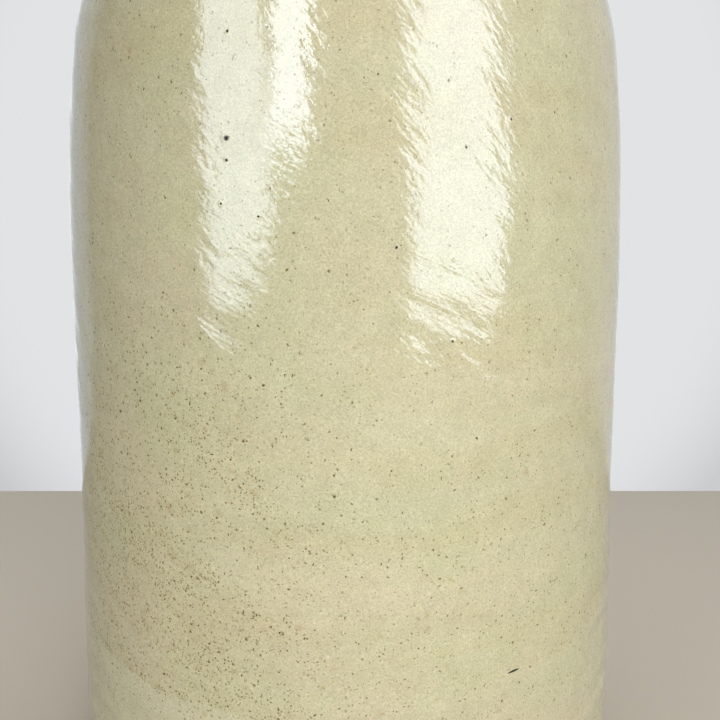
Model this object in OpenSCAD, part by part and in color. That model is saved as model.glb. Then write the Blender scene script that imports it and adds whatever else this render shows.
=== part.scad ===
// Stoneware vase, thrown in sections that are luted together with slip and glazed over.
// Every piece is a solid of revolution about Z, and the surface it stands on is z = 0.

/* [Body] */
// Diameter of the wall just above the foot, over the glaze
base_d = 199; // [190:1:206]
// Diameter half way up the wall, over the glaze
waist_d = 189.5; // [184:0.5:196]
// Height of that point
waist_z = 130; // [115:1:145]
// Diameter of the wall where it begins to close in, over the glaze
chest_d = 182.5; // [178:0.5:188]
// Height of that point
chest_z = 222; // [210:1:232]

/* [Shoulder and neck] */
// Diameter where the round shoulder starts, over the glaze
shoulder_d = 176; // [172:0.5:180]
// Height where the round shoulder starts
shoulder_z = 252; // [244:1:258]
// Radius of the round shoulder
shoulder_r = 80; // [70:1:90]
// Inward lean of the wall where the round shoulder starts, in degrees
shoulder_lean = 8; // [5:0.5:11]
// Diameter of the neck, over the glaze
neck_d = 88; // [80:1:96]
// Height of the straight part of the neck
neck_h = 14; // [8:1:30]
// Radius of the hollow curve between shoulder and neck
neck_fillet = 12; // [8:1:16]
// Thickness of the neck with its glaze, which is also the radius of the rolled lip
lip_r = 7; // [6:0.5:8.5]
// Radius of the small hollow curve under the rolled lip
lip_fillet = 2.5; // [1.5:0.5:4]

/* [Walls and glaze] */
// Thickness of the clay wall at the foot
wall_base_t = 8.4; // [7:0.2:10]
// Thickness of the base slab
floor_t = 11; // [9:0.5:14]
// Radius of the coil worked into the inside corner
coil_r = 12; // [8:1:16]
// Thickness of the outer glaze
glaze_out_t = 0.8; // [0.5:0.1:1.2]
// Thickness of the liner glaze
glaze_in_t = 0.6; // [0.4:0.1:1]
// Thickness of the slip in each joint, measured upwards
slip_t = 0.8; // [0.5:0.1:1.2]
// Rise of each bevelled joint across the wall, as a slope
bevel = 0.6; // [0.4:0.1:0.8]

/* [Foot] */
// Height of the foot ring
foot_h = 5; // [3:0.5:8]
// Outer diameter of the foot ring
foot_d = 184; // [176:1:186]
// Width of the foot ring
foot_w = 11; // [8:1:16]
// Rounding of the foot ring's edges
foot_round = 1.5; // [0.5:0.5:2]
// Height of the bare edge between the foot ring and the glaze
bare_h = 4; // [3:0.5:5]
// Height of the bevel under the base slab's edge
slab_bevel_h = 2.5; // [1:0.5:2.5]

/* [Hidden] */
$fn = 96;
CLAY = "#b4946c";
SLIP = "#9c7c58";
LINER = "#c9c49c";
GLAZE = "#d6d2ad";

// The slope of the wall at the foot, half way up, and where it begins to close in.
base_slope = -0.03;
waist_slope = -0.03;
chest_slope = -0.07;

// Heights of the glaze's lower edge and of the floor inside.
glaze_z = foot_h + bare_h;
floor_z = foot_h + floor_t;

// The shoulder's arc ends at the angle that leaves it tangent to the hollow curve of the neck.
shoulder_c = [
    shoulder_d / 2 - shoulder_r * cos(shoulder_lean),
    shoulder_z - shoulder_r * sin(shoulder_lean)
];
neck_reach = shoulder_r + neck_fillet;
neck_angle = acos((neck_d / 2 + neck_fillet - shoulder_c.x) / neck_reach);
neck_fillet_c = shoulder_c + neck_reach * [cos(neck_angle), sin(neck_angle)];
neck_z = neck_fillet_c.y;
mouth_r = neck_d / 2 - lip_r;

// The lip is a round bead on the neck's outer edge, with a small hollow curve under it.
lip_reach = lip_r + lip_fillet;
lip_fillet_c = [neck_d / 2 + lip_fillet, neck_z + neck_h];
lip_c = lip_fillet_c + [-lip_fillet, sqrt(lip_reach * lip_reach - lip_fillet * lip_fillet)];
lip_join = atan2(lip_c.y - lip_fillet_c.y, lip_c.x - lip_fillet_c.x);

// Points on an arc from angle a to angle b.
function arc(c, r, a, b, n) = [
    for (i = [0:n]) c + r * [cos(a + (b - a) * i / n), sin(a + (b - a) * i / n)]
];

// A curve between two points [radius, height], with the given slopes of radius over height.
function flow(p, q, slope_p, slope_q, n) = [
    for (i = [0:n])
        let (
            t = i / n,
            rise = q.y - p.y,
            ease = t * t * (3 - 2 * t),
            lean = slope_p * t * (1 - t) * (1 - t) - slope_q * t * t * (1 - t)
        )
        [p.x + (q.x - p.x) * ease + rise * lean, p.y + rise * t]
];

// A path moved to its left, which is towards the axis on a path that runs upwards.
function left_of(path, i) =
    let (along = path[min(i + 1, len(path) - 1)] - path[max(i - 1, 0)])
    [-along.y, along.x] / norm(along);
function moved(path, d) = [for (i = [0:len(path) - 1]) path[i] + d[i] * left_of(path, i)];
function reversed(path) = [for (i = [len(path) - 1:-1:0]) path[i]];
function rest_of(path) = [for (i = [1:len(path) - 1]) path[i]];
function all_but_last(path) = [for (i = [0:len(path) - 2]) path[i]];
function above_z(path, z) = [for (p = path) if (p.y > z) p];
function radius_at(path, z) = lookup(z, [for (p = path) [p.y, p.x]]);

// The glazed outside, from the glaze's lower edge up to the neck.
outside = concat(
    flow([base_d / 2, glaze_z], [waist_d / 2, waist_z], base_slope, waist_slope, 12),
    rest_of(flow([waist_d / 2, waist_z], [chest_d / 2, chest_z], waist_slope, chest_slope, 9)),
    rest_of(flow(
        [chest_d / 2, chest_z], [shoulder_d / 2, shoulder_z], chest_slope, -tan(shoulder_lean), 5
    )),
    rest_of(arc(shoulder_c, shoulder_r, shoulder_lean, neck_angle, 14)),
    rest_of(arc(neck_fillet_c, neck_fillet, neck_angle + 180, 180, 7))
);

// Clay and glaze together thin evenly from the foot to the neck.
full_base_t = wall_base_t + glaze_out_t + glaze_in_t;
function full_t(z) = full_base_t + (lip_r - full_base_t) * (z - glaze_z) / (neck_z - glaze_z);

// The clay's outside, and the inside with d of glaze left off it. Both are cylinders at the neck.
clay_outside = concat(
    all_but_last(moved(outside, [for (p = outside) glaze_out_t])),
    [[neck_d / 2 - glaze_out_t, neck_z]]
);
function inside(d) = concat(
    all_but_last(moved(outside, [for (p = outside) full_t(p.y) - d])),
    [[mouth_r + d, neck_z], [mouth_r + d, lip_c.y]]
);
clay_inside = inside(glaze_in_t);

// The lip over its top, from the neck's outside to the mouth, with d of glaze left off it.
function lip_path(d) = concat(
    arc(lip_fillet_c, lip_fillet + d, 180, lip_join, 5),
    rest_of(arc(lip_c, lip_r - d, lip_join - 180, 180, 22))
);

// The inside corner, where the coil's hollow face meets the wall.
corner_z = floor_z + coil_r;
corner_c = [radius_at(clay_inside, corner_z) - coil_r, corner_z];
floor_r = radius_at(clay_inside, floor_z);

// The joints, as [radius, height, slope]. The neck's falls inwards and the others fall outwards.
function joint_at(z, slope) = [radius_at(outside, z) - full_base_t / 2, z, slope];
base_joint = [floor_r, floor_z, -bevel];
wall_joint = joint_at(waist_z + 4, -bevel);
shoulder_joint = joint_at(shoulder_z - 3, -bevel);
neck_joint = joint_at(shoulder_c.y + shoulder_r * sin(neck_angle), bevel);
lip_joint = [neck_d / 2 - lip_r / 2, lip_fillet_c.y - 2, -bevel];

module turned() {
    rotate_extrude() children();
}

// The section of all the clay above the foot ring, before the joints part it.
module clay_section() {
    polygon(concat(
        [[0, foot_h], [foot_d / 2, foot_h], [clay_outside[0].x, foot_h + slab_bevel_h]],
        clay_outside,
        lip_path(glaze_out_t),
        reversed(above_z(clay_inside, floor_z)),
        [[floor_r, floor_z], [0, floor_z]]
    ));
}

// The half of the section's plane that lies above a joint by gap, and the half that lies below.
far = 600;
function joint_line(joint, gap) = [
    for (r = [0, far]) [r, joint.y + joint.z * (r - joint.x) + gap]
];
module above(joint, gap = slip_t / 2) {
    polygon(concat(joint_line(joint, gap), [[far, far], [0, far]]));
}
module below(joint, gap = slip_t / 2) {
    polygon(concat(joint_line(joint, -gap), [[far, -far], [0, -far]]));
}

// A thrown section between two joints, and the slip that fills a joint.
module section_between(low, high) {
    turned() intersection() {
        clay_section();
        above(low);
        below(high);
    }
}
module slip_in(joint) {
    turned() intersection() {
        clay_section();
        above(joint, -slip_t / 2);
        below(joint, -slip_t / 2);
    }
}

// Turned foot: a bare ring with round edges, luted under the base slab.
module foot_ring() {
    inner = foot_d / 2 - foot_w + foot_round;
    outer = foot_d / 2 - foot_round;
    top = foot_h - slip_t;
    color(CLAY) turned() polygon(concat(
        arc([inner, foot_round], foot_round, 180, 270, 4),
        arc([outer, foot_round], foot_round, 270, 360, 4),
        [[foot_d / 2, top], [foot_d / 2 - foot_w, top]]
    ));
}

module foot_slip() {
    color(SLIP) turned() translate([foot_d / 2 - foot_w, foot_h - slip_t]) square([foot_w, slip_t]);
}

// Base: a slab with a bevelled edge that the wall is luted onto.
module base_slab() {
    color(CLAY) turned() intersection() {
        clay_section();
        below(base_joint);
    }
}

module base_slip() {
    color(SLIP) slip_in(base_joint);
}

// Coil pressed into the inside corner and smoothed to a hollow curve.
module base_coil() {
    backed = [for (p = clay_inside) if (p.y > floor_z && p.y < corner_z) p];
    color(CLAY) turned() polygon(concat(
        arc(corner_c, coil_r, 0, -90, 10),
        [[floor_r, floor_z]],
        backed
    ));
}

module lower_wall() {
    color(CLAY) section_between(base_joint, wall_joint);
}

module wall_slip() {
    color(SLIP) slip_in(wall_joint);
}

module upper_wall() {
    color(CLAY) section_between(wall_joint, shoulder_joint);
}

module shoulder_slip() {
    color(SLIP) slip_in(shoulder_joint);
}

module shoulder() {
    color(CLAY) section_between(shoulder_joint, neck_joint);
}

module neck_slip() {
    color(SLIP) slip_in(neck_joint);
}

module neck() {
    color(CLAY) section_between(neck_joint, lip_joint);
}

module lip_slip() {
    color(SLIP) slip_in(lip_joint);
}

// Rolled lip: a round coil turned outwards over the neck.
module lip() {
    color(CLAY) turned() intersection() {
        clay_section();
        above(lip_joint);
    }
}

// Liner glaze: down from the mouth, round the inside corner and over the floor.
module inner_glaze() {
    color(LINER) turned() polygon(concat(
        [[0, floor_z]],
        arc(corner_c, coil_r, -90, 0, 10),
        above_z(clay_inside, corner_z),
        reversed(above_z(inside(0), corner_z)),
        arc(corner_c, coil_r - glaze_in_t, 0, -90, 10),
        [[0, floor_z + glaze_in_t]]
    ));
}

// Outer glaze: from above the foot, up the wall and over the lip to the mouth.
module outer_glaze() {
    color(GLAZE) turned() polygon(concat(
        outside,
        lip_path(0),
        reversed(lip_path(glaze_out_t)),
        reversed(clay_outside)
    ));
}

foot_ring();
base_slab();
base_coil();
lower_wall();
upper_wall();
shoulder();
neck();
lip();
foot_slip();
base_slip();
wall_slip();
shoulder_slip();
neck_slip();
lip_slip();
inner_glaze();
outer_glaze();
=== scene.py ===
"""Looks for a tall thrown stoneware vase: glazes, bare foot, light and camera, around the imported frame."""
import math

import bpy
import numpy as np
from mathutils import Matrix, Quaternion, Vector


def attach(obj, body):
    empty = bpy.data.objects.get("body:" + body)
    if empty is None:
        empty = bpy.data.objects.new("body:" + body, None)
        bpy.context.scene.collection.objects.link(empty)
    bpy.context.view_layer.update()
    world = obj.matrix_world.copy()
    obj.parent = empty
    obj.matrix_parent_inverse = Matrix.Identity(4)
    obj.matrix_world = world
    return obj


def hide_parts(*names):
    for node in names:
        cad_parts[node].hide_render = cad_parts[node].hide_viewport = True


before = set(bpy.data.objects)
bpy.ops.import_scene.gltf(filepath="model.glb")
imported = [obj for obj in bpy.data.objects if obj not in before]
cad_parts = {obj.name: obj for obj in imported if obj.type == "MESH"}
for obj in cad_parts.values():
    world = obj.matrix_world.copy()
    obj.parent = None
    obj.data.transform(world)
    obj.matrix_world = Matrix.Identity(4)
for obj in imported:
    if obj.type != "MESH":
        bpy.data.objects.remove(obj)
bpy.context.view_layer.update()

MM = 0.001
TURN = 2 * math.pi

# Colours, as 8-bit sRGB.
GREEN_CREAM = (203, 203, 164)
PINK_CREAM = (210, 200, 168)
PALE_CREAM = (216, 212, 180)
OCHRE_CREAM = (201, 190, 145)
OLIVE_SPECK = (108, 88, 8)
DARK_SPECK = (60, 42, 6)
RUST = (168, 134, 70)
# Near black for the pinholes and the nick: painted shade in the holes.
PIT_SHADE = (24, 18, 12)
# Pale blisters and specks: a pale tone of the glaze that also stands in for their glints, so partly a painted
# highlight.
PALE_BLISTER_GLINT = (236, 234, 216)
BARE_CLAY = (186, 152, 112)
TOASTED_CLAY = (154, 112, 74)
BARE_SLIP = (158, 122, 86)
TOASTED_SLIP = (126, 90, 60)
FLOOR = (226, 217, 202)
SKY = (252, 253, 255)

# Strengths of the sky at its left and right and behind the vase, and its fall-off behind the camera.
SKY_LEFT, SKY_RIGHT, SKY_BACK, SKY_FRONT = 0.33, 0.68, 0.78, 0.36
# The colour of daylight from a window.
DAYLIGHT = (0.78, 0.87, 1.0)
# Light panels: name, degrees to the right of the camera, distance, lowest and highest point, width,
# power, whether it is only seen in the glaze (or else only lights), and how many degrees its top leans to
# the left.
PANELS = (
    ("left_window_outer", -41.5, 0.75, 0.16, 0.85, 0.31, 5.3, True, 12),
    ("left_window_inner", -20, 0.75, 0.36, 0.85, 0.19, 3.6, True, 0),
    ("right_window", 41, 0.75, 0.13, 0.85, 0.46, 9.0, True, 0),
    ("left_rim", -132, 0.75, -0.25, 0.75, 0.46, 0.55, True, 0),
    ("soft_key", 12, 0.9, 0.00, 0.56, 0.6, 5.65, False, 0),
)

# Throwing rings in the wall: their depth and spacing in millimetres, and how many spacings they climb in
# one turn round the pot.
COARSE_RINGS = (0.045, 11.5, 1)
FINE_RINGS = (0.022, 6.1, 2)
# Throwing ledges: heights along the wall from the glaze's lower edge, their depth, and the heights over
# which they swell out and die away, in millimetres.
LEDGES = (38, 62, 86, 105, 118, 129, 140, 150)
LEDGE_DEPTH, LEDGE_RISE, LEDGE_FADE = 0.11, 0.55, 7
# Strokes wiped over the wall: how many, between which heights, and the ranges of their length, width and
# depth, all in millimetres, and of their lean in degrees.
LEANING_WIPES = {
    "count": 420, "low": 60, "high": 260,
    "length": (14, 34), "width": (3.5, 8), "depth": (0.03, 0.12), "lean": (22, 52),
}
LEVEL_WIPES = {
    "count": 240, "low": 20, "high": 190,
    "length": (24, 60), "width": (4, 10), "depth": (0.02, 0.06), "lean": (-4, 20),
}
# The leaning folds: the height of their middle, how far they spread from it, and their depth, in
# millimetres.
FOLD_HEIGHT, FOLD_SPREAD, FOLD_DEPTH = 170, 20, 0.16
# The least and most that all of this may add to the outer glaze, in millimetres.
RELIEF_LIMITS = (-0.5, 1.0)
# Waves in the glaze's lower edge: size in millimetres, times round the pot, and phase. All of it hangs
# lower by EDGE_DROP.
EDGE_WAVES = ((0.35, 3, 0.4), (0.25, 7, 2), (0.2, 13, 0))
EDGE_DROP = 0.25

# The pinholes that show most on the front: degrees to the right of it, height and radius in millimetres.
PINHOLES = (
    (-17, 246, 0.50), (-17, 222, 0.85), (-17, 217, 0.50), (-18, 207, 0.45), (-12, 204, 0.40), (27, 227, 0.50),
    (19, 220, 0.50), (17, 194, 0.40), (17, 174, 0.50), (-29, 221, 0.35), (-25, 120, 0.30), (-8, 119, 0.30),
)
# The nick: degrees to the right, height, rise in degrees, length and width.
NICK = (29.5, 79.9, 1, 7.2, 0.75)
# Lines round the wall where specks gathered: degrees to the right, height, and half their span in degrees.
RING_LINES = ((-31, 109, 14), (-28, 74, 20))
# Specks crowd below the first height in full, and hardly above the second, in metres.
CROWD_HEIGHTS = (0.100, 0.195)
# They crowd on the left, which ends over the first angles and begins over the second, in radians to the
# right of the front. The thick glaze at the lower left does so too.
CROWD_FRONT, CROWD_BACK = (-0.44, 0.08), (-2.8, -1.7)
THICK_FRONT, THICK_BACK = (-0.33, -0.20), (-1.5, -0.8)
# Kinds of speck, from the lowest layer up. Spacing of their cells and largest radius, in millimetres; the
# share of cells that hold one where specks are few, and what crowding adds to it; colour; how well the
# palest and the darkest of them cover; shift of the cells, and softness of the edge.
SPECKS = (
    (3.0, 1.00, 0.0, 0.8, RUST, 0.30, 0.30, 8.3, 0.9),
    # Pale specks, crowding low on the left: partly the glaze's own pale specks and partly painted glints.
    (1.3, 0.34, 0.03, 0.8, PALE_BLISTER_GLINT, 0.40, 0.40, 7.7, 0.35),
    (0.8, 0.27, 0.16, 0.8, OLIVE_SPECK, 0.52, 0.52, 1.7, 0.35),
    (0.9, 0.34, 0.01, 1.1, OLIVE_SPECK, 0.65, 1.00, 0.0, 0.35),
    (3.2, 0.38, 0.045, 0.5, DARK_SPECK, 0.60, 1.00, 4.1, 0.35),
)


# ---------------------------------------------------------------- sections of the frame

def cut(node):
    """The cut through a CAD node at +X: ordered (radius, height) points. A node that closes over the axis
    gives an open line from its higher end, and any other its whole outline, upwards from its widest
    point."""
    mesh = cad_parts[node].data
    flat = 1e-6
    spots = [
        (round(v.co.x, 6), round(v.co.z, 6)) if abs(v.co.y) < flat and v.co.x > -flat else None
        for v in mesh.vertices
    ]
    beside = {}
    for edge in mesh.edges:
        a, b = (spots[i] for i in edge.vertices)
        if a and b and a != b:
            beside.setdefault(a, set()).add(b)
            beside.setdefault(b, set()).add(a)
    ends = [p for p in beside if len(beside[p]) == 1]
    here = max(ends, key=lambda p: p[1]) if ends else max(beside)
    line = [here]
    while True:
        ahead = [p for p in beside[here] if p not in line]
        if not ahead:
            return np.array(line)
        here = max(ahead, key=lambda p: p[1])
        line.append(here)


def smoothed(line, spacing):
    """The same line as a smooth curve through its points, with points about spacing apart."""
    steps = np.diff(line, axis=0)
    lengths = np.hypot(*steps.T)
    along = np.concatenate([[0], np.cumsum(lengths)])
    slopes = steps / lengths[:, None]
    before, after = lengths[:-1, None], lengths[1:, None]
    inner = (slopes[:-1] * after + slopes[1:] * before) / (before + after)
    tangents = np.vstack([slopes[:1], inner, slopes[-1:]])
    places = np.linspace(0, along[-1], max(2, round(along[-1] / spacing)) + 1)
    k = np.clip(np.searchsorted(along, places, side="right") - 1, 0, len(lengths) - 1)
    h = lengths[k][:, None]
    t = ((places - along[k]) / lengths[k])[:, None]
    return (
        line[k] * (1 + 2 * t) * (1 - t) ** 2 + line[k + 1] * t ** 2 * (3 - 2 * t)
        + h * (tangents[k] * t * (1 - t) ** 2 - tangents[k + 1] * t ** 2 * (1 - t))
    )


def sides(line):
    """Unit vectors to the right of a line of (radius, height) points: outwards where it runs upwards."""
    step = np.gradient(line, axis=0)
    step /= np.hypot(*step.T)[:, None]
    return np.column_stack([step[:, 1], -step[:, 0]])


def thinned(line, every):
    """Every so many points of a line, and always its last."""
    return np.vstack([line[:-1][::every], line[-1:]])


def arc_lengths(line):
    """How far along the line each of its points lies."""
    return np.concatenate([[0], np.cumsum(np.hypot(*np.diff(line, axis=0).T))])


# ---------------------------------------------------------------- surface relief, in millimetres

def ripple(theta, height, cells_round, cell_height, rng):
    """Smooth noise from -1 to 1 round the pot and up it, in cells that join up round the pot."""
    rows = int(np.max(height) / cell_height) + 3
    knots = rng.uniform(-1, 1, (rows, cells_round))
    x = theta / TURN * cells_round
    y = height / cell_height + 1
    i, j = np.floor(x).astype(int), np.floor(y).astype(int)
    u, v = x - i, y - j
    u, v = u * u * (3 - 2 * u), v * v * (3 - 2 * v)
    i0, i1 = i % cells_round, (i + 1) % cells_round
    j0, j1 = np.clip(j, 0, rows - 1), np.clip(j + 1, 0, rows - 1)
    low = knots[j0, i0] * (1 - u) + knots[j0, i1] * u
    high = knots[j1, i0] * (1 - u) + knots[j1, i1] * u
    return low * (1 - v) + high * v


def wipes(theta, height, radius, rng, count, low, high, length, width, depth, lean):
    """Strokes left by a rib or a hand while the clay and glaze were soft: each is a shallow scoop with a
    raised lower edge. Ranges are (smallest, largest), and lean is the slope in degrees, falling to the
    right. Returns the relief on the grid of theta (columns) and height (rows)."""
    relief = np.zeros((len(height), len(theta)))
    for _ in range(count):
        at_theta, at_height = rng.uniform(0, TURN), rng.uniform(low, high)
        long, wide = rng.uniform(*length), rng.uniform(*width)
        deep, slope = rng.uniform(*depth), math.radians(rng.uniform(*lean))
        rows = np.nonzero(abs(height - at_height) < long)[0]
        if not len(rows):
            continue
        across = (theta - at_theta + math.pi) % TURN - math.pi
        across = across * np.interp(at_height, height, radius)
        columns = np.nonzero(abs(across) < long)[0]
        x, y = across[columns][None, :], (height[rows] - at_height)[:, None]
        u = (x * math.cos(slope) - y * math.sin(slope)) / (0.5 * long)
        v = (x * math.sin(slope) + y * math.cos(slope)) / (0.5 * wide)
        v = v + 0.35 * u * u
        body = np.clip(1 - u * u, 0, 1) ** 1.5
        scoop = -np.exp(-v * v) + 0.7 * np.exp(-((v + 1.5) / 0.6) ** 2)
        relief[np.ix_(rows, columns)] += deep * body * scoop
    return relief


def rings(up, around, depth, spacing, climbs, sway):
    """Even rings that climb as they go round, with an angle of sway."""
    return depth * np.sin(TURN * up / spacing - climbs * around + sway)


def glaze_relief(theta, height, radius, seed):
    """Relief of the thrown and wiped wall under its glaze. theta, height and radius are one-dimensional."""
    rng = np.random.default_rng(seed)
    around, up = theta[None, :], height[:, None]
    shape = len(height), len(theta)
    grid = np.broadcast_to(around, shape), np.broadcast_to(up, shape)
    ringed = rings(up, around, *COARSE_RINGS, 1.8 * ripple(*grid, 5, 40, rng))
    ringed += rings(up, around, *FINE_RINGS, 2.6 * ripple(*grid, 7, 23, rng))
    stronger_low_down = np.interp(up, [115, 165], [2.2, 1.0])
    ringed *= (0.6 + 0.4 * ripple(*grid, 6, 55, rng)) * stronger_low_down
    uneven = 0.16 * np.sin(2 * around + 0.9 + up / 90) + 0.10 * np.sin(3 * around + 2.1 - up / 60)
    lumps = 0.10 * ripple(*grid, 22, 26, rng) + 0.045 * ripple(*grid, 52, 11, rng)
    grain = 0.012 * ripple(*grid, 150, 4.2, rng)
    strokes = wipes(theta, height, radius, rng, **LEANING_WIPES)
    strokes += wipes(theta, height, radius, rng, **LEVEL_WIPES)
    return uneven + ringed + lumps + grain + strokes + folds(*grid, rng) + ledges(*grid, rng)


def ledges(theta, height, rng):
    """Low ledges where the thrower's finger rose a step: each swells out sharply and dies away upwards."""
    relief = 0
    for level in LEDGES:
        above = height - level - 1.3 * np.sin(theta + level) - 0.8 * ripple(theta, height, 6, 60, rng)
        share = np.clip(0.5 + 0.9 * ripple(theta, height, 9, 50, rng), 0, 1)
        swell = 1 / (1 + np.exp(-above / LEDGE_RISE))
        fade = np.exp(-np.clip(above, 0, None) / LEDGE_FADE)
        relief = relief + LEDGE_DEPTH * share * swell * fade
    return relief


def folds(theta, height, rng):
    """Low leaning folds in the glaze at mid height, where the wiping hand changed its hold."""
    middle = np.exp(-((height - FOLD_HEIGHT) / FOLD_SPREAD) ** 2)
    share = np.clip(0.55 + 0.75 * ripple(theta, height, 17, 17, rng), 0, 1)
    bend = 2.2 * ripple(theta, height, 13, 15, rng)
    steep = np.sin(TURN * height / 7.4 + 58 * theta + bend)
    flat = np.sin(TURN * height / 9.5 + 26 * theta + bend)
    side = 0.5 + 0.5 * np.sin(2 * theta + 2.2 + 0.8 * ripple(theta, height, 5, 60, rng))
    return FOLD_DEPTH * middle * share * (steep * side + flat * (1 - side))


# ---------------------------------------------------------------- meshes

def turned_mesh(name, line, columns, relief):
    """A closed skin made by turning a line of (radius, height) points about Z. relief moves the points to
    the line's right: a row for each point, a column for each angle. All are metres. A point on the axis
    becomes one vertex."""
    theta = np.arange(columns) / columns * TURN
    right = sides(line)
    radius = line[:, :1] + right[:, :1] * relief
    height = line[:, 1:] + right[:, 1:] * relief
    on_axis = line[:, 0] < 1e-6
    vertices, index = [], []
    for i in range(len(line)):
        start = len(vertices)
        if on_axis[i]:
            vertices.append((0.0, 0.0, float(height[i].mean())))
            index.append([start] * columns)
        else:
            ring = np.column_stack([radius[i] * np.cos(theta), radius[i] * np.sin(theta), height[i]])
            vertices.extend(map(tuple, ring.tolist()))
            index.append(list(range(start, start + columns)))
    faces = []
    for i in range(len(line)):
        k = (i + 1) % len(line)
        if on_axis[i] and on_axis[k]:
            continue
        low, high = index[i], index[k]
        for j in range(columns):
            n = (j + 1) % columns
            if on_axis[i]:
                faces.append((low[0], high[n], high[j]))
            elif on_axis[k]:
                faces.append((low[j], low[n], high[0]))
            else:
                faces.append((low[j], low[n], high[n], high[j]))
    mesh = bpy.data.meshes.new(name)
    mesh.from_pydata(vertices, [], faces)
    mesh.validate()
    mesh.shade_smooth()
    piece = bpy.data.objects.new(name, mesh)
    bpy.context.scene.collection.objects.link(piece)
    return piece


def put_on(piece, node, material):
    """Lets a piece stand for a CAD node."""
    piece.data.materials.append(material)
    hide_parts(node)
    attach(piece, "root")


def outer_coat(material):
    """The outer glaze: a wiped and ringed wall with a rolled, wandering lower edge, and a coated lip."""
    columns, spacing = 384, 1.85 * MM
    line = cut("outer_glaze")
    mouth = int(np.argmin(line[:, 0]))
    face, back = smoothed(line[:mouth + 1], spacing), thinned(line[mouth + 1:], 2)
    theta = np.arange(columns) / columns * TURN
    along = arc_lengths(face) / MM
    relief = glaze_relief(theta, along, face[:, 0] / MM, seed=11)
    # The neck and lip are calmer than the wall.
    top = line[:, 1].max()
    relief *= np.interp(face[:, 1], [top - 40 * MM, top - 24 * MM], [1, 0.45])[:, None]
    relief = np.clip(relief, *RELIEF_LIMITS)
    # The lower edge: a rounded roll where the glaze gathered.
    roll = 0.75 * np.exp(-((along - 2.2) / 1.7) ** 2) - 0.75 * np.exp(-(along / 0.9) ** 2)
    relief += roll[:, None] * (0.8 + 0.3 * np.sin(5 * theta + 1) * np.sin(3 * theta))[None, :]
    # The coat ends at the mouth, flush with the liner.
    relief *= np.interp(along[-1] - along, [0, 8], [0, 1])[:, None]
    relief = np.vstack([relief, np.zeros((len(back), columns))]) * MM
    piece = turned_mesh("outer_glaze_coat", np.vstack([face, back]), columns, relief)
    wander_edge(piece, line[0, 1])
    put_on(piece, "outer_glaze", material)


def wander_edge(piece, edge_height):
    """Lets the glaze's lower edge rise and fall, fading out upwards."""
    reach = 14 * MM
    mesh = piece.data
    co = np.empty(len(mesh.vertices) * 3)
    mesh.vertices.foreach_get("co", co)
    co = co.reshape(-1, 3)
    theta = np.arctan2(co[:, 1], co[:, 0])
    wave = sum(size * np.sin(times * theta + phase) for size, times, phase in EDGE_WAVES) - EDGE_DROP
    fade = np.clip(1 - (co[:, 2] - edge_height) / reach, 0, 1) ** 2
    co[:, 2] += wave * fade * MM
    mesh.vertices.foreach_set("co", co.ravel())
    mesh.update()


def liner_coat(material):
    """The liner: a smooth coat over the throwing spiral inside."""
    columns, spacing = 192, 2.6 * MM
    line = cut("inner_glaze")
    mouth = int(np.argmax(line[:, 1]))
    if line[0, 1] > line[-1, 1]:
        inner, outer = line[:mouth + 1], line[mouth + 1:]
    else:
        inner, outer = line[mouth + 1:][::-1], line[:mouth + 1][::-1]
    face = smoothed(np.vstack([[0, inner[0, 1]], inner])[::-1], spacing)
    back = np.vstack([thinned(outer, 2), [0, outer[-1, 1]]])[::-1]
    theta = np.arange(columns) / columns * TURN
    along = arc_lengths(face) / MM
    depth, spiral_spacing = 0.22, 13
    spiral = depth * np.sin(TURN * along[:, None] / spiral_spacing + theta[None, :])
    fade = np.interp(along, [26, 60], [0, 1]) * np.interp(face[:, 0], [8 * MM, 30 * MM], [0, 1])
    relief = np.vstack([spiral * fade[:, None], np.zeros((len(back), columns))]) * MM
    piece = turned_mesh("liner_glaze_coat", np.vstack([face, back]), columns, relief)
    put_on(piece, "inner_glaze", material)


def divided(line, spacing):
    """The same line, with its corners, and points added so that none are further apart than spacing."""
    parts = [
        np.linspace(a, b, max(1, math.ceil(np.hypot(*(b - a)) / spacing)), endpoint=False)
        for a, b in zip(line[:-1], line[1:])
    ]
    return np.vstack(parts + [line[-1:]])


def turned_foot(material):
    """The foot ring, with fine turning lines round it and a few rubbed dips along its edges."""
    columns, spacing = 256, 0.8 * MM
    line = cut("foot_ring")
    line = divided(np.vstack([line, line[:1]]), spacing)[:-1]
    theta = np.arange(columns) / columns * TURN
    rng = np.random.default_rng(5)
    along = arc_lengths(line)[:, None] / MM
    low = np.clip(1 - line[:, 1:] / (3.5 * MM), 0, 1)
    shape = len(line), columns
    grid = np.broadcast_to(theta[None, :], shape), np.broadcast_to(along, shape)
    line_depth, line_spacing, rub_depth = 0.06, 1.7, 0.35
    lines = line_depth * np.sin(TURN * along / line_spacing + 0.8 * ripple(*grid, 9, 6, rng))
    rubbed = rub_depth * np.clip(ripple(*grid, 37, 9, rng), 0, 1) * low
    relief = -np.abs(lines) - rubbed
    # It stays flush with the slip above it, and level where it stands.
    hidden = line[:, 1:] > line[:, 1].max() - 0.3 * MM
    resting = line[:, 1:] < 0.01 * MM
    relief = np.where(hidden, 0, np.where(resting, 0.3 * relief, relief))
    put_on(turned_mesh("turned_foot_ring", line, columns, relief * MM), "foot_ring", material)


def turned_base(material):
    """The base slab, with the spiral that a trimming tool leaves underneath it."""
    columns, spacing = 256, 1.5 * MM
    edge = cut("base_slab")
    line = divided(np.vstack([[0, edge[0, 1]], edge, [0, edge[-1, 1]]])[::-1], spacing)
    theta = np.arange(columns) / columns * TURN
    radius, height = line[:, :1] / MM, line[:, 1:]
    depth, spiral_spacing = 0.35, 6.5
    flat = height < line[:, 1].min() + 0.01 * MM
    under = np.where(flat, np.interp(radius, [2, 10, 72, 80], [0, 1, 1, 0]), 0)
    spiral = np.sin(TURN * radius / spiral_spacing - theta[None, :])
    relief = -depth * (0.5 + 0.5 * spiral) ** 2 * under
    put_on(turned_mesh("turned_base_slab", line, columns, relief * MM), "base_slab", material)


# ---------------------------------------------------------------- materials

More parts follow.
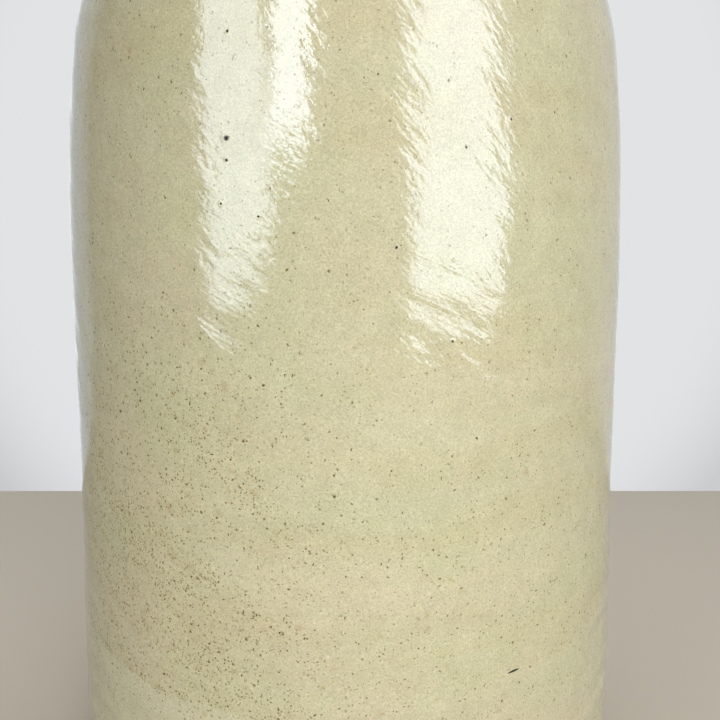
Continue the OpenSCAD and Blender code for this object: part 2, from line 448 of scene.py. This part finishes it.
class Shader:
    """A new node material with short calls to add nodes."""

    def __init__(self, name):
        self.material = bpy.data.materials.new(name)
        self.material.use_nodes = True
        self.tree = self.material.node_tree
        self.principled = self.tree.nodes["Principled BSDF"]
        self.place = self.node("ShaderNodeTexCoord").outputs["Object"]
        self.ragged = None

    def put(self, socket, value):
        """Links a socket to the value where that is a socket too, and sets it otherwise."""
        if isinstance(value, bpy.types.NodeSocket):
            self.tree.links.new(value, socket)
        else:
            socket.default_value = value

    def node(self, kind, inputs=None, **settings):
        made = self.tree.nodes.new(kind)
        for key, value in settings.items():
            setattr(made, key, value)
        for key, value in (inputs or {}).items():
            self.put(made.inputs[key], value)
        return made

    def math(self, operation, a, b=0.0, c=0.0, clamp=False):
        made = self.node("ShaderNodeMath", operation=operation, use_clamp=clamp)
        for socket, value in zip(made.inputs, (a, b, c)):
            self.put(socket, value)
        return made.outputs[0]

    def vector(self, operation, a, b=(0.0, 0.0, 0.0)):
        return self.node("ShaderNodeVectorMath", operation=operation, inputs={0: a, 1: b})

    def ramp(self, value, low, high, to_low=0.0, to_high=1.0):
        """value's span from low to high, smoothly mapped to the span from to_low to to_high."""
        made = self.node("ShaderNodeMapRange", interpolation_type="SMOOTHSTEP", inputs={
            "Value": value, "From Min": low, "From Max": high, "To Min": to_low, "To Max": to_high,
        })
        return made.outputs["Result"]

    def mix(self, share, a, b, blend="MIX"):
        made = self.node("ShaderNodeMix", data_type="RGBA", blend_type=blend)
        for name, value in (("Factor_Float", share), ("A_Color", a), ("B_Color", b)):
            socket = next(s for s in made.inputs if s.identifier == name)
            self.put(socket, value)
        return next(s for s in made.outputs if s.identifier == "Result_Color")

    def tinted(self, colour, level):
        """A colour times a level, where 1 leaves it as it is."""
        grey = self.node("ShaderNodeCombineColor", inputs={"Red": level, "Green": level, "Blue": level})
        return self.mix(1.0, colour, grey.outputs[0], "MULTIPLY")

    def noise(self, scale, detail=2.0, roughness=0.5, stretch=(1, 1, 1), place=None, shift=0.0):
        """Noise of so many cells per metre, along axes that stretch scales."""
        mapping = self.node("ShaderNodeMapping", inputs={
            "Vector": place or self.place, "Location": (shift, shift, shift), "Scale": stretch,
        })
        made = self.node("ShaderNodeTexNoise", inputs={
            "Vector": mapping.outputs[0], "Scale": scale, "Detail": detail, "Roughness": roughness,
        })
        return made.outputs["Fac"]

    def roughened(self):
        """Object coordinates shaken by part of a millimetre, which makes spots ragged and bunches them."""
        if self.ragged is None:
            reach = 2.0 * MM
            shake = self.node("ShaderNodeTexNoise", inputs={
                "Vector": self.place, "Scale": 700, "Detail": 3, "Roughness": 0.7,
            })
            centred = self.vector("SUBTRACT", shake.outputs["Color"], (0.5, 0.5, 0.5)).outputs[0]
            scaled = self.node("ShaderNodeVectorMath", operation="SCALE", inputs={0: centred, "Scale": reach})
            self.ragged = self.vector("ADD", self.place, scaled.outputs[0]).outputs[0]
        return self.ragged

    def cells(self, size, shift=0.0):
        """Scattered points about size metres apart: the nearest one's distance in metres, and its own
        random colour."""
        mapping = self.node("ShaderNodeMapping", inputs={
            "Vector": self.roughened(), "Location": (shift, shift, shift),
        })
        made = self.node("ShaderNodeTexVoronoi", inputs={"Vector": mapping.outputs[0], "Scale": 1 / size})
        split = self.node("ShaderNodeSeparateColor", inputs={"Color": made.outputs["Color"]})
        return self.math("MULTIPLY", made.outputs["Distance"], size), split.outputs

    def spots(self, size, radius, share, shift=0.0, edge=0.35):
        """Round spots of up to radius metres on a share (a number or a socket) of the scattered points,
        and the random colour of each."""
        distance, chance = self.cells(size, shift)
        there = self.math("LESS_THAN", chance["Red"], share)
        own = self.math("MULTIPLY_ADD", chance["Green"], 0.6 * radius, 0.4 * radius)
        mask = self.ramp(self.math("DIVIDE", distance, own), 1 - edge, 1 + edge, 1.0, 0.0)
        return self.math("MULTIPLY", mask, there), chance

    def twisted(self, turn_per_metre):
        """Object coordinates turned about Z in step with height, which makes upright streaks lean."""
        height = self.node("ShaderNodeSeparateXYZ", inputs={"Vector": self.place}).outputs["Z"]
        angle = self.math("MULTIPLY", height, turn_per_metre)
        made = self.node("ShaderNodeVectorRotate", rotation_type="Z_AXIS", inputs={
            "Vector": self.place, "Angle": angle,
        })
        return made.outputs[0]

    def spans(self):
        """How many radians to the right of the front a point lies, and how many metres up."""
        split = self.node("ShaderNodeSeparateXYZ", inputs={"Vector": self.place})
        back = self.math("MULTIPLY", split.outputs["Y"], -1.0)
        return self.math("ARCTAN2", split.outputs["X"], back), split.outputs["Z"]

    def bump(self, height, distance, before=None):
        inputs = {"Height": height, "Distance": distance, "Strength": 1.0}
        if before is not None:
            inputs["Normal"] = before
        return self.node("ShaderNodeBump", inputs=inputs).outputs[0]

    def finish(self, **sockets):
        """Sets or links the inputs of the surface, and returns the material."""
        for name, value in sockets.items():
            self.put(self.principled.inputs[name.replace("_", " ")], value)
        return self.material


def srgb(red, green, blue):
    """A linear colour from an 8-bit sRGB one."""
    def linear(c):
        c /= 255
        return c / 12.92 if c <= 0.04045 else ((c + 0.055) / 1.055) ** 2.4
    return (linear(red), linear(green), linear(blue), 1.0)


def cream(s, height, thick):
    """Cream that drifts between a greener and a pinker tint, with soft ochre bands left by the wheel, lighter
    and darker bands round the wall, strongest low down, that are partly glaze pooled in the throwing rings
    and partly painted shade of those rings, and a fine grain. It is paler where the glaze is thick."""
    drift = s.ramp(s.noise(26, 3, 0.55, (1, 1, 1.5)), 0.3, 0.7, 0.15, 0.85)
    colour = s.mix(drift, srgb(*GREEN_CREAM), srgb(*PINK_CREAM))
    cloud = s.ramp(s.noise(95, 4, 0.6, shift=3.0), 0.35, 0.7, 0.0, 0.5)
    colour = s.mix(cloud, colour, srgb(*PALE_CREAM))
    band = s.ramp(s.noise(70, 2, 0.5, (0.12, 0.12, 1.0), shift=7.0), 0.5, 0.72, 0.0, 0.30)
    colour = s.mix(band, colour, srgb(*OCHRE_CREAM))
    colour = s.mix(s.math("MULTIPLY", thick, 0.5), colour, srgb(*PALE_CREAM))
    # Lighter and darker bands round the wall, strongest low down: partly glaze pooled in the throwing rings,
    # partly painted shade of them.
    level = s.ramp(s.noise(85, 4, 0.65, (0.10, 0.10, 1.0), shift=4.7), 0.3, 0.7, -0.035, 0.035)
    level = s.math("MULTIPLY_ADD", level, s.ramp(height, 0.12, 0.18, 1.0, 0.55), 1.0)
    mottle = s.ramp(s.noise(260, 3, 0.6, shift=1.1), 0.3, 0.7, 0.965, 1.03)
    mottle = s.math("MULTIPLY", mottle, level)
    grain = s.ramp(s.noise(2100, 2, 0.8), 0.25, 0.75, 0.82, 1.16)
    return s.tinted(colour, s.math("MULTIPLY", mottle, grain))


def ring_lines(s, angle, height):
    """The broken lines where specks gathered, from 0 to 1."""
    broken = s.ramp(s.noise(160, 3, 0.6, shift=6.5), 0.38, 0.56, 0.25, 1.0)
    wander = s.math("MULTIPLY_ADD", s.noise(45, 2, 0.5, shift=1.9), 0.009, -0.0045)
    lines = 0.0
    for azimuth, level, span in RING_LINES:
        off = s.math("ABSOLUTE", s.math("ADD", s.math("SUBTRACT", height, level * MM), wander))
        beside = s.math("ABSOLUTE", s.math("SUBTRACT", angle, math.radians(azimuth)))
        near = s.ramp(off, 0.5 * MM, 2.6 * MM, 1.0, 0.0)
        along = s.ramp(beside, math.radians(0.7 * span), math.radians(span), 1.0, 0.0)
        lines = s.math("MAXIMUM", s.math("MULTIPLY", near, along), lines)
    return s.math("MULTIPLY", lines, broken)


def crowding(s, angle, height):
    """Where iron specks crowd: low on the wall and most on its left, in lines that the wiping left.
    Returns that and where the glaze is thick, both from 0 to 1."""
    low_down = s.ramp(height, *CROWD_HEIGHTS, 1.0, 0.06)
    left = s.math("MULTIPLY", s.ramp(angle, *CROWD_FRONT, 1.0, 0.0), s.ramp(angle, *CROWD_BACK, 0.0, 1.0))
    leaning = s.ramp(s.noise(115, 3, 0.6, (1, 1, 0.16), s.twisted(14.0)), 0.40, 0.58, 0.45, 1.0)
    level = s.ramp(s.noise(130, 3, 0.6, (0.2, 0.2, 1.0), shift=2.0), 0.42, 0.64, 0.03, 0.18)
    patches = s.ramp(s.noise(40, 3, 0.5, shift=5.0), 0.38, 0.5, 0.45, 1.0)
    elsewhere = s.math("MULTIPLY", level, s.math("SUBTRACT", 1.0, left))
    lines = s.math("MULTIPLY_ADD", leaning, left, elsewhere)
    crowd = s.math("MULTIPLY", s.math("MULTIPLY", lines, patches), low_down)
    # Thick glaze at the lower left hides most of them, up to the lower ring line.
    limit = RING_LINES[1][1]
    below = s.ramp(height, (limit - 2) * MM, limit * MM, 1.0, 0.0)
    thick = s.math("MULTIPLY", below, s.ramp(angle, *THICK_FRONT, 1.0, 0.0))
    thick = s.math("MULTIPLY", thick, s.ramp(angle, *THICK_BACK, 0.0, 1.0))
    thick = s.math("MULTIPLY", thick, s.ramp(height, 0.02, 0.05, 0.2, 1.0))
    crowd = s.math("MULTIPLY", crowd, s.math("MULTIPLY_ADD", thick, -0.8, 1.0))
    return s.math("MAXIMUM", crowd, ring_lines(s, angle, height)), thick


def specked(s, colour, crowd):
    """Ochre haze and iron specks in a colour. Returns the colour and where the last, coarsest kind is."""
    colour = s.mix(s.math("MULTIPLY", crowd, 0.4), colour, srgb(*OCHRE_CREAM))
    for size, radius, few, more, tint, palest, darkest, shift, edge in SPECKS:
        share = s.math("MULTIPLY_ADD", crowd, more, few)
        spot, chance = s.spots(size * MM, radius * MM, share, shift, edge)
        spot = s.math("MULTIPLY", spot, s.ramp(chance["Blue"], 0.0, 1.0, palest, darkest))
        colour = s.mix(spot, colour, srgb(*tint))
    return colour, spot


def on_wall(azimuth, height, face):
    """The point of the glaze that lies azimuth degrees right of the front, at a height in millimetres."""
    radius = float(np.interp(height * MM, face[:, 1], face[:, 0]))
    a = math.radians(azimuth)
    return Vector((radius * math.sin(a), -radius * math.cos(a), height * MM))


def scattered(s, spacing, shift, share):
    """Points spacing millimetres apart: the nearest one's distance in metres, and whether it counts."""
    distance, chance = s.cells(spacing * MM, shift)
    return distance, s.math("LESS_THAN", chance["Red"], share)


def pinholed(s, colour):
    """Pinholes with a slightly raised rim, a few pale blisters, and the nick. The pits and the nick are
    painted near black, painted shade in the holes, and the blisters' pale is partly a painted glint. Returns
    the colour, the relief and where the pits and the nick lie."""
    line = cut("outer_glaze")
    face = line[:int(np.argmax(line[:, 1])) + 1]
    distance, some = scattered(s, 17, 5.5, 0.35)
    pit = s.math("MULTIPLY", s.ramp(distance, 0.20 * MM, 0.45 * MM, 1.0, 0.0), some)
    rim = s.math("MULTIPLY", s.ramp(distance, 0.5 * MM, 1.0 * MM, 1.0, 0.0), some)
    distance, some = scattered(s, 11, 9.4, 0.5)
    blister_glint = s.math("MULTIPLY", s.ramp(distance, 0.2 * MM, 0.7 * MM, 1.0, 0.0), some)
    for azimuth, height, radius in PINHOLES:
        away = s.vector("DISTANCE", s.place, on_wall(azimuth, height, face)).outputs["Value"]
        pit = s.math("MAXIMUM", pit, s.ramp(away, 0.4 * radius * MM, radius * MM, 1.0, 0.0))
        rim = s.math("MAXIMUM", rim, s.ramp(away, radius * MM, 2.2 * radius * MM, 1.0, 0.0))
    pit_shade_mask = s.math("MAXIMUM", pit, nicked(s, face))
    # Pale blisters: partly the glaze's own pale pimples and partly painted glints.
    colour = s.mix(s.math("MULTIPLY", blister_glint, 0.55), colour, srgb(*PALE_BLISTER_GLINT))
    # The pits and the nick are painted near black: painted shade in the holes.
    colour = s.mix(pit_shade_mask, colour, srgb(*PIT_SHADE))
    raised = s.math("ADD", s.math("MULTIPLY", rim, 0.4), blister_glint)
    return colour, s.math("SUBTRACT", raised, s.math("MULTIPLY", pit, 0.8)), pit_shade_mask


def nicked(s, face):
    """One short nick through the glaze, deepest at its middle; it is painted dark as shade in the cut."""
    azimuth, height, rise, length, width = NICK
    a, up = math.radians(azimuth), math.radians(rise)
    along = (math.cos(a) * math.cos(up), math.sin(a) * math.cos(up), math.sin(up))
    offset = s.vector("SUBTRACT", s.place, on_wall(azimuth, height, face)).outputs[0]
    run = s.vector("DOT_PRODUCT", offset, along).outputs["Value"]
    far = s.vector("LENGTH", offset).outputs["Value"]
    beside = s.math("SQRT", s.math("SUBTRACT", s.math("MULTIPLY", far, far), s.math("MULTIPLY", run, run)))
    share = s.math("DIVIDE", s.math("ABSOLUTE", run), 0.5 * length * MM)
    # It tapers to a point at both ends.
    half_width = s.ramp(share, 0.1, 1.0, 0.5 * width * MM, 0.02 * MM)
    return s.ramp(s.math("DIVIDE", beside, half_width), 0.7, 1.3, 1.0, 0.0)


def outer_glaze_material():
    """The glossy cream glaze with its specks, pinholes and nick."""
    s = Shader("speckled_cream_glaze")
    angle, height = s.spans()
    crowd, thick = crowding(s, angle, height)
    colour, coarse = specked(s, cream(s, height, thick), crowd)
    colour, holes, pit_shade_mask = pinholed(s, colour)

    # Relief too fine for the mesh: wiped strokes that lean, flatter ones, and the grain of the glaze.
    rough = s.ramp(s.noise(30, 2, 0.5, shift=3.3), 0.35, 0.65, 0.35, 1.25)
    across = s.node("ShaderNodeSeparateXYZ", inputs={"Vector": s.place}).outputs["X"]
    rough = s.math("MULTIPLY", rough, s.ramp(across, -0.03, 0.03, 0.62, 1.0))
    strokes = s.math("MULTIPLY", s.noise(290, 2, 0.5, (1, 1, 0.68), s.twisted(8.0)), rough)
    leaning = s.math("MULTIPLY", s.noise(700, 2, 0.5, (1, 1, 0.45), s.twisted(6.5)), rough)
    flatter = s.noise(420, 3, 0.6, (1, 1, 0.16), s.twisted(24.0), shift=2.0)
    peel = s.noise(900, 2, 0.5)
    fine_peel = s.noise(2300, 2, 0.6)
    depths = (
        (strokes, 0.21), (leaning, 0.07), (flatter, 0.05), (peel, 0.04), (fine_peel, 0.01), (holes, 0.12),
    )
    normal = None
    for relief, depth in depths:
        normal = s.bump(relief, depth * MM, normal)

    gloss = s.ramp(s.noise(60, 3, 0.6, shift=6.0), 0.3, 0.7, 0.02, 0.05)
    gloss = s.math("ADD", gloss, s.math("MULTIPLY", coarse, 0.2))
    gloss = s.math("ADD", gloss, s.math("MULTIPLY", pit_shade_mask, 0.8), clamp=True)
    return s.finish(Base_Color=colour, Roughness=gloss, Normal=normal, IOR=1.5)


def liner_material():
    """The smoother satin glaze inside, with scattered specks."""
    s = Shader("liner_glaze")
    drift = s.ramp(s.noise(30, 3, 0.55), 0.35, 0.65)
    colour = s.mix(drift, srgb(*GREEN_CREAM), srgb(*OCHRE_CREAM))
    specks, chance = s.spots(3.5 * MM, 0.45 * MM, 0.35)
    specks = s.math("MULTIPLY", specks, s.ramp(chance["Blue"], 0, 1, 0.3, 0.9))
    colour = s.mix(specks, colour, srgb(*DARK_SPECK))
    normal = s.bump(s.noise(380, 3, 0.5), 0.12 * MM)
    gloss = s.ramp(s.noise(90, 2, 0.5), 0.3, 0.7, 0.16, 0.3)
    return s.finish(Base_Color=colour, Roughness=gloss, Normal=normal)


def clay_material(name, tint, shade):
    """Bare fired clay: a sandy body with iron specks, toasted here and there, with fine turning lines."""
    s = Shader(name)
    toast = s.ramp(s.noise(40, 4, 0.6), 0.35, 0.7)
    colour = s.mix(toast, srgb(*tint), srgb(*shade))
    dark, light = 0.86, 1.1
    sand = s.ramp(s.noise(1800, 3, 0.7), 0.3, 0.7, dark, light)
    colour = s.tinted(colour, sand)
    specks, chance = s.spots(2.4 * MM, 0.36 * MM, 0.5)
    specks = s.math("MULTIPLY", specks, s.ramp(chance["Blue"], 0, 1, 0.3, 1.0))
    colour = s.mix(specks, colour, srgb(*DARK_SPECK))
    lines = s.noise(900, 2, 0.5, (0.03, 0.03, 1.0))
    normal = s.bump(lines, 0.15 * MM)
    normal = s.bump(s.noise(2200, 3, 0.7), 0.12 * MM, normal)
    return s.finish(Base_Color=colour, Roughness=s.ramp(sand, dark, light, 0.9, 0.72), Normal=normal)


# ---------------------------------------------------------------- the vase

clay = clay_material("bare_stoneware", BARE_CLAY, TOASTED_CLAY)
slip = clay_material("fired_slip", BARE_SLIP, TOASTED_SLIP)
outer_coat(outer_glaze_material())
liner_coat(liner_material())
turned_foot(clay)
turned_base(clay)
for name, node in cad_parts.items():
    node.data.materials.clear()
    node.data.materials.append(slip if name.endswith("_slip") else clay)


# ---------------------------------------------------------------- studio, light and camera

def plain_material(name, colour):
    """A plain matt paint with a little unevenness."""
    s = Shader(name)
    tone = s.mix(s.noise(3, 3, 0.5), srgb(*colour), srgb(*(0.97 * c for c in colour)))
    return s.finish(Base_Color=tone, Roughness=1.0, Specular_IOR_Level=0.0)


def studio():
    """A plain pale floor, which ends a little behind the vase, under a plain pale sky."""
    width, depth, thickness, behind = 2.0, 1.0, 30 * MM, 250 * MM
    bpy.ops.mesh.primitive_cube_add(size=1)
    floor = bpy.context.object
    floor.name = "studio_floor"
    floor.scale = (width, depth, thickness)
    floor.location = (0, behind - depth / 2, -thickness / 2)
    bpy.ops.object.transform_apply(location=False, rotation=False, scale=True)
    edge = floor.modifiers.new("edge", "BEVEL")
    edge.width, edge.segments = 4 * MM, 3
    floor.data.materials.append(plain_material("studio_paint", FLOOR))


def sky():
    """A plain pale sky: bright behind the vase and on the right, and dim behind the camera."""
    world = bpy.data.worlds.new("studio_sky")
    world.use_nodes = True
    tree = world.node_tree
    place = tree.nodes.new("ShaderNodeTexCoord")
    split = tree.nodes.new("ShaderNodeSeparateXYZ")
    tree.links.new(place.outputs["Generated"], split.inputs[0])
    around, level = tree.nodes.new("ShaderNodeMath"), tree.nodes.new("ShaderNodeMath")
    around.operation, level.operation = "MULTIPLY", "MAXIMUM"
    spans = (
        (around.inputs[0], "X", -1, 1, SKY_LEFT, SKY_RIGHT),
        (around.inputs[1], "Y", 0, 0.7, SKY_FRONT, 1),
        (level.inputs[1], "Y", 0.7, 0.9, 0, SKY_BACK),
    )
    for socket, axis, low, high, to_low, to_high in spans:
        ramp = tree.nodes.new("ShaderNodeMapRange")
        ramp.interpolation_type = "SMOOTHSTEP"
        for key, value in (("From Min", low), ("From Max", high), ("To Min", to_low), ("To Max", to_high)):
            ramp.inputs[key].default_value = value
        tree.links.new(split.outputs[axis], ramp.inputs["Value"])
        tree.links.new(ramp.outputs["Result"], socket)
    tree.links.new(around.outputs[0], level.inputs[0])
    air = tree.nodes["Background"]
    air.inputs["Color"].default_value = srgb(*SKY)
    tree.links.new(level.outputs[0], air.inputs["Strength"])
    bpy.context.scene.world = world


def panel(name, azimuth, distance, low, high, width, power, shine, tilt):
    """A soft light panel that faces the vase. PANELS says what its values mean."""
    data = bpy.data.lights.new(name, "AREA")
    data.shape = "RECTANGLE"
    data.size, data.size_y = width, high - low
    data.energy = power
    data.color = DAYLIGHT if shine else (1, 1, 1)
    light = bpy.data.objects.new(name, data)
    a = math.radians(azimuth)
    light.location = (distance * math.sin(a), -distance * math.cos(a), (low + high) / 2)
    target = Vector((0, 0, light.location.z))
    facing = (target - light.location).to_track_quat("-Z", "Y")
    light.rotation_euler = (facing @ Quaternion((0, 0, 1), math.radians(tilt))).to_euler()
    light.visible_camera = False
    light.visible_diffuse = not shine
    light.visible_glossy = shine
    bpy.context.scene.collection.objects.link(light)


def soft_top(height, size, power):
    """A soft panel overhead, which lights the floor and isn't seen in the glaze."""
    data = bpy.data.lights.new("soft_top", "AREA")
    data.size, data.energy = size, power
    light = bpy.data.objects.new("soft_top", data)
    light.location = (0, 0, height)
    light.visible_camera = light.visible_glossy = False
    bpy.context.scene.collection.objects.link(light)


def camera():
    """A close camera a little above the middle of the vase, looking slightly down."""
    data = bpy.data.cameras.new("camera")
    data.sensor_width = 36
    data.lens = 36
    eye = bpy.data.objects.new("camera", data)
    side, back, height, pitch = 4.75 * MM, 263 * MM, 205 * MM, 11.6
    eye.location = (side, -back, height)
    eye.rotation_euler = (math.radians(90 - pitch), 0, 0)
    data.clip_start = 10 * MM
    bpy.context.scene.collection.objects.link(eye)
    bpy.context.scene.camera = eye


studio()
sky()
for values in PANELS:
    panel(*values)
soft_top(height=1.1, size=0.8, power=3.4)
camera()
bpy.context.scene.view_settings.view_transform = "Standard"
